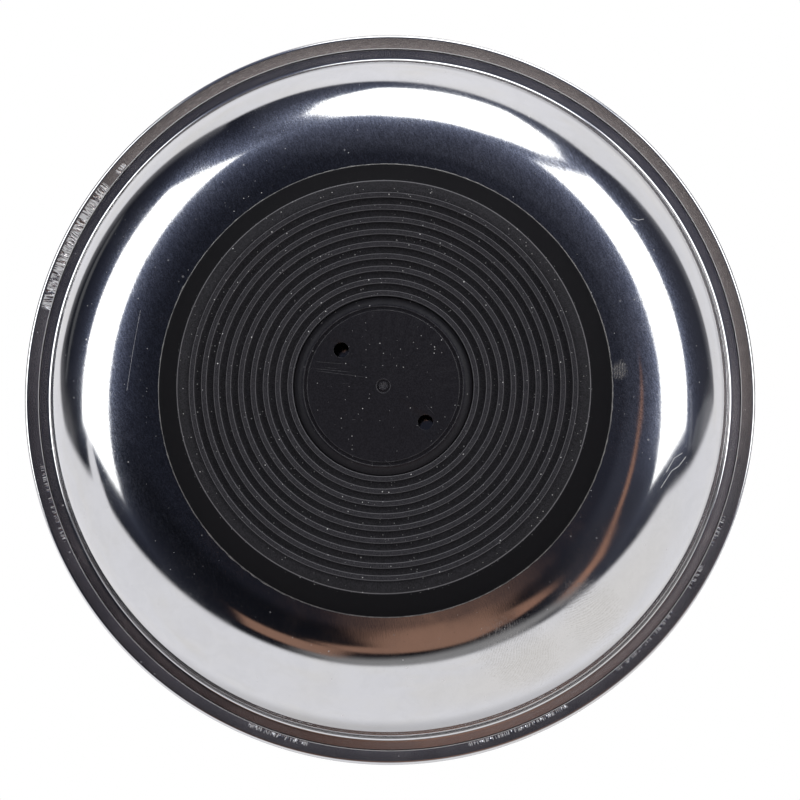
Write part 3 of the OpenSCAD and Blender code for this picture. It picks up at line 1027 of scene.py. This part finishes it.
SHORT_STREAKS = (
    ((86.5, 115.5), (88, 100), (92, 89), (97, 86), (98.5, 91.5), (95.5, 102), (92, 112)),
    ((86, 77), (86, 80.5), (98, 86), (98, 82.5)))
WARM_CARDS = (
    ((259, 1.5), (70, 1.0), (152, 16.5), (152, 26), (162, 28.5), (186, 28), (192, 15.3)),
    ((184, 20.5), (184, 28), (196, 28.6), (202, 26)),
    ((192, 27), (194, 37), (216, 40.5), (220, 33)),
    ((138, 20), (138, 25), (151, 27), (151, 15)),
    ((86, 20), (86, 21.8), (100, 24.8), (100, 21.5)),
    ((98, 21.2), (98, 24.5), (113, 28.8), (114, 25.8)),
    ((112, 25.2), (112, 28.3), (125, 40), (126.5, 33.5)),
    ((123, 32), (123, 38), (136, 42), (138, 36)),
    ((76, 21.8), (76, 23.0), (90, 24.3), (90, 21.0)))
GREY_CARD = ((129, 36), (134, 46), (180, 46), (206, 42), (200, 33), (165, 30.5))

# Softness of the edges of lights, panels and cards
LIGHT_EDGE = 0.028
OVERHEAD_EDGE = 0.05
PANEL_EDGE = 0.03
LONG_EDGE = 0.02
SHORT_EDGE = 0.012

# Brightness and colour of what the tray is lit by
LIGHT_RADIANCE = 3.2
OVERHEAD_RADIANCE = 4.0
WIDE_GLOW, WIDE_REACH = (0.112, 0.126, 0.2), 0.29
NEAR_GLOW, NEAR_REACH = (0.22, 0.25, 0.33), 0.07
STUDIO_DARK = (0.0038, 0.004, 0.0052)
STUDIO_SIDE = (0.027, 0.028, 0.036)
PANEL_RIM = (0.15, 0.148, 0.155)
STREAK = (0.09, 0.09, 0.09)
WARM = (0.315, 0.178, 0.128)
WARM_STRIPE = (0.385, 0.205, 0.146)
GREY = (0.29, 0.285, 0.29)
PALE_COOL = (0.95, 0.942, 0.985)
PALE_WARM = (0.94, 0.915, 0.905)
CAMERA_WHITE = (1, 1, 1)


def toward(clock, tilt):
    """Direction at a clock angle and an angle from the view along +Z."""
    clock, tilt = math.radians(clock), math.radians(tilt)
    side = math.sin(clock) * RIGHT - math.cos(clock) * DOWN
    return math.sin(tilt) * side - math.cos(tilt) * Vector((0, 0, 1))


def inside(net, ray, corners):
    """How far a direction lies inside a patch of the sky."""
    spots = [toward(*corner) for corner in corners]
    middle = sum(spots, Vector()).normalized()
    edges = [first.cross(second).normalized() for first, second in zip(spots, spots[1:] + spots[:1])]
    return net.chain("MINIMUM", [net.dot(ray, edge if edge.dot(middle) > 0 else -edge) for edge in edges])


def patches(net, ray, shapes, edge):
    """Mask of several patches of the sky, with a soft edge."""
    return net.step(net.largest(inside(net, ray, corners) for corners in shapes), -edge, edge)


def pale_surround(net, ray, panel_in):
    """Share and colour of the pale surround, which the dark panels interrupt."""
    up = net.split(ray)[2]
    low_way = net.dot(ray, toward(176, 90))
    low_part = net.step(net.linear(low_way, 1.2, up), -0.02, 0.1)
    across = net.dot(ray, RIGHT)
    high_part = net.step(net.linear(across, 0.15, up), 0.1, 0.165)
    roof_way = net.dot(ray, toward(225, 90))
    roof = net.product(net.step(net.linear(roof_way, -0.114, up), 0.775, 0.895),
                       net.facing(ray, toward(120, 90), -0.1, 0.25, 0.54, 0.3))
    panels = net.step(panel_in, -PANEL_EDGE, PANEL_EDGE)
    share = net.product(net.largest((low_part, high_part)), net.without(panels), net.without(roof))
    share = net.largest((share, patches(net, ray, (PALE_TONGUE,), LONG_EDGE)))
    shade = net.product(net.facing(ray, toward(180, 150), 0.8, 1.0, 1.0, 0.66),
                        net.facing(ray, toward(5, 100), 0.8, 1.0, 1.0, 1.1))
    streaks = net.noise(net.vector("MULTIPLY", ray, (5.0, 5.0, 0.8)), 1.0, 3.0, 0.6)
    warmer = net.largest((net.step(streaks, 0.4, 0.75, 0.0, 0.8),
                          net.facing(ray, toward(142, 85), 0.75, 0.98)))
    return share, net.scaled(net.mix(warmer, PALE_COOL, PALE_WARM), shade)


def dark_studio(net, ray, panel_in, light_in):
    """Colour of the dark part: glow round the lights, faint streaks on the panels, and cards."""
    up = net.split(ray)[2]
    depth = net.math("MINIMUM", light_in, 0.0)
    outward = net.step(up, -0.5, 0.05, 1.0, 0.5)
    wide = net.product(net.math("EXPONENT", net.math("DIVIDE", depth, WIDE_REACH)),
                       net.facing(ray, toward(5, 90), -0.16, 0.06, 0.25, 1.0), outward)
    near = net.product(net.math("EXPONENT", net.math("DIVIDE", depth, NEAR_REACH)), outward,
                       net.facing(ray, toward(178, 90), 0.0, 0.22, 1.0, 0.2))
    rim = net.product(net.step(panel_in, -0.02, 0.0), net.step(panel_in, 0.18, 0.0), net.step(up, 0.02, 0.25))
    streak = net.largest((patches(net, ray, (LONG_STREAK,), LONG_EDGE),
                          patches(net, ray, SHORT_STREAKS, SHORT_EDGE)))
    dark = net.mix(net.facing(ray, toward(60, 90), 0.01, 0.16), STUDIO_DARK, STUDIO_SIDE)
    for tone, share in ((WIDE_GLOW, wide), (NEAR_GLOW, near), (PANEL_RIM, rim), (STREAK, streak)):
        dark = net.vector("ADD", dark, net.scaled(tone, share))
    grey = net.step(inside(net, ray, GREY_CARD), -0.03, 0.09)
    warm = net.step(net.largest(inside(net, ray, card) for card in WARM_CARDS), -0.02, 0.025)
    warm_tone = net.mix(net.facing(ray, RIGHT, 0.1, 0.3), WARM, WARM_STRIPE)
    return net.mix(warm, net.mix(grey, dark, GREY), warm_tone)


def studio_sky():
    """World: white to the camera, and a studio with soft lights to everything else."""
    world = bpy.data.worlds.new("studio")
    bpy.context.scene.world = world
    world.use_nodes = True
    net = Net(world.node_tree)
    ray = net.add("TexCoord").outputs["Generated"]
    panel_in = net.largest(inside(net, ray, corners) for corners in (RIGHT_PANEL, LEFT_PANEL))
    light_in = net.largest(inside(net, ray, corners) for corners in (RIGHT_LIGHT, LEFT_LIGHT, TOP_LIGHT))
    pale, pale_tone = pale_surround(net, ray, panel_in)
    studio = net.mix(pale, dark_studio(net, ray, panel_in, light_in), pale_tone)
    studio = net.mix(patches(net, ray, (OVERHEAD_LIGHT,), OVERHEAD_EDGE), studio, (OVERHEAD_RADIANCE,) * 3)
    studio = net.mix(net.step(light_in, -LIGHT_EDGE, LIGHT_EDGE), studio, (LIGHT_RADIANCE,) * 3)
    seen = net.add("LightPath").outputs["Is Camera Ray"]
    sky = net.add("Background", {"Color": net.mix(seen, studio, CAMERA_WHITE)})
    net.add("OutputWorld", {"Surface": sky.outputs[0]})


FLOOR_HALF = 5.0
FLOOR_DROP = 0.2 * MM
FLOOR_PALE = (0.82, 0.82, 0.82)
FLOOR_ROUGH = 0.9


def studio_floor():
    """Pale floor that only shows from above, so that a camera below sees the tray."""
    mesh = bpy.data.meshes.new("floor")
    h = FLOOR_HALF
    mesh.from_pydata([(-h, -h, 0), (h, -h, 0), (h, h, 0), (-h, h, 0)], [], [(0, 1, 2, 3)])
    floor = bpy.data.objects.new("floor", mesh)
    floor.location.z = -FLOOR_DROP
    bpy.context.scene.collection.objects.link(floor)
    material, net = new_material("pale_floor")
    paint = net.add("BsdfPrincipled", {"Base Color": (*FLOOR_PALE, 1.0), "Roughness": FLOOR_ROUGH})
    clear = net.add("BsdfTransparent")
    depth = net.add("LightPath").outputs["Transparent Depth"]
    behind = net.add("NewGeometry").outputs["Backfacing"]
    below = net.largest((behind, net.math("GREATER_THAN", depth, 0.5)))
    blend = net.add("MixShader", (below, paint.outputs[0], clear.outputs[0]))
    net.add("OutputMaterial", {"Surface": blend.outputs[0]})
    mesh.materials.append(material)


# Camera, as places along right, down and up in millimetres
CAMERA_AT = (17.388, 34.736, -560.75)
CAMERA_AIM = (2.28, 0.532, 39.25)
CAMERA_LENS = 130.455
CAMERA_SENSOR = 36.0
CLIP_NEAR, CLIP_FAR = 0.01, 100.0


def photo_camera():
    """Camera below the tray, looking up at its base."""
    def spot(place):
        return (place[0] * RIGHT + place[1] * DOWN + place[2] * Vector((0, 0, 1))) * MM
    eye, aim = spot(CAMERA_AT), spot(CAMERA_AIM)
    forward = (aim - eye).normalized()
    right = (RIGHT - forward * RIGHT.dot(forward)).normalized()
    up = right.cross(forward)
    data = bpy.data.cameras.new("photo_camera")
    data.lens, data.sensor_width = CAMERA_LENS, CAMERA_SENSOR
    data.clip_start, data.clip_end = CLIP_NEAR, CLIP_FAR
    camera = bpy.data.objects.new("photo_camera", data)
    camera.matrix_world = Matrix((right, up, -forward)).transposed().to_4x4()
    camera.location = eye
    bpy.context.scene.collection.objects.link(camera)
    bpy.context.scene.camera = camera


# Pieces in place of their CAD nodes, and finishes for the two nodes that stay

glue, ferrite = dull_finish("dried_adhesive", **GLUE), dull_finish("sintered_ferrite", **FERRITE)
boot = boot_piece()
stand_for(boot, "boot", rubber_finish("boot_rubber", FACE_GLOSS))
skirt_material(boot, rubber_finish("boot_skirt_rubber", SKIRT_GLOSS))
for build, node, slot, finish in (
        (bowl_piece, "bowl", "stainless", steel_finish()),
        (plug_piece, "centre_plug", "plug_plastic", plug_finish()),
        (bond_piece, "boot_bond", "adhesive", glue)):
    stand_for(build(), node, finish)
for node, finish in (("magnet_ring", ferrite), ("magnet_bond", glue)):
    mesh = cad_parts[node].data
    mesh.materials.clear()
    mesh.materials.append(finish)
studio_sky()
studio_floor()
photo_camera()
bpy.context.scene.view_settings.view_transform = "Standard"
